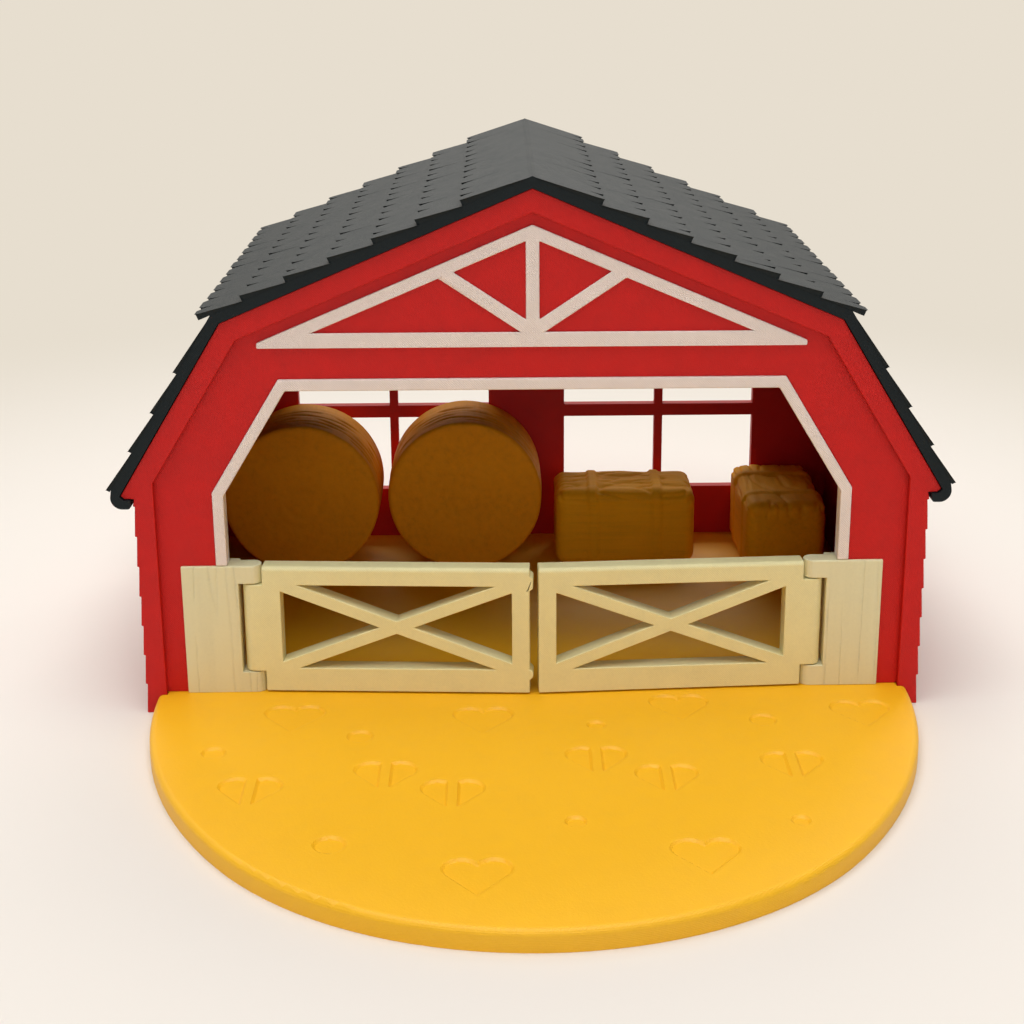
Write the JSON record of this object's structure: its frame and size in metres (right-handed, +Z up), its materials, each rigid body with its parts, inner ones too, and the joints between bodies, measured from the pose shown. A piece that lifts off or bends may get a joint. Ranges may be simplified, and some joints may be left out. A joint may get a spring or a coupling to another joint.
{
  "type": "toy barn",
  "caption": "Toy barn with a clip-on gambrel roof, an open doorway, gates on pin hinges, latticed back windows, straw bales inside and a round yard in front",
  "frame": {"origin": "under the middle of the whole toy, on the surface that it stands on", "axes": "+Z up; -Y is the front, where the yard and the gates are; +X is to the right seen from the front"},
  "size_m": [0.212, 0.2432, 0.1378],
  "materials": {
    "barn_red": "printed plastic with fine lines",
    "slate": "printed plastic with fine lines",
    "cream": "printed plastic with fine lines",
    "straw_yellow": "printed plastic with fine lines",
    "straw": "printed plastic, lined like straw",
    "steel": "drawn wire"
  },
  "bodies": {
    "barn": {"base": "straw_yellow", "front_frame": "barn_red", "front_panel": "barn_red", "back_wall": "barn_red", "side_wall_left": "barn_red", "side_wall_right": "barn_red", "gable_truss": "cream", "door_trim": "cream", "hinge_plate_left": "cream", "hinge_plate_right": "cream", "hinge_pin_left": "steel", "hinge_pin_right": "steel", "round_bale_left": "straw", "round_bale_right": "straw", "square_bale_left": "straw", "square_bale_right": "straw"},
    "roof": {"roof": "slate"},
    "gate_left": {"gate_left": "cream"},
    "gate_right": {"gate_right": "cream"}
  },
  "joints": [
    {"name": "gate_left_hinge", "type": "hinge", "parent": "barn", "child": "gate_left", "pos_m": [-0.0717, -0.0028, 0.0223], "axis": [0, 0, -1], "range_deg": [-93, 87]},
    {"name": "gate_right_hinge", "type": "hinge", "parent": "barn", "child": "gate_right", "pos_m": [0.0717, -0.0028, 0.0223], "axis": [0, 0, 1], "range_deg": [-93, 87]},
    {"name": "roof_slide", "type": "slide", "parent": "barn", "child": "roof", "axis": [0, 1, 0], "range_m": [0, 0.13]}
  ]
}
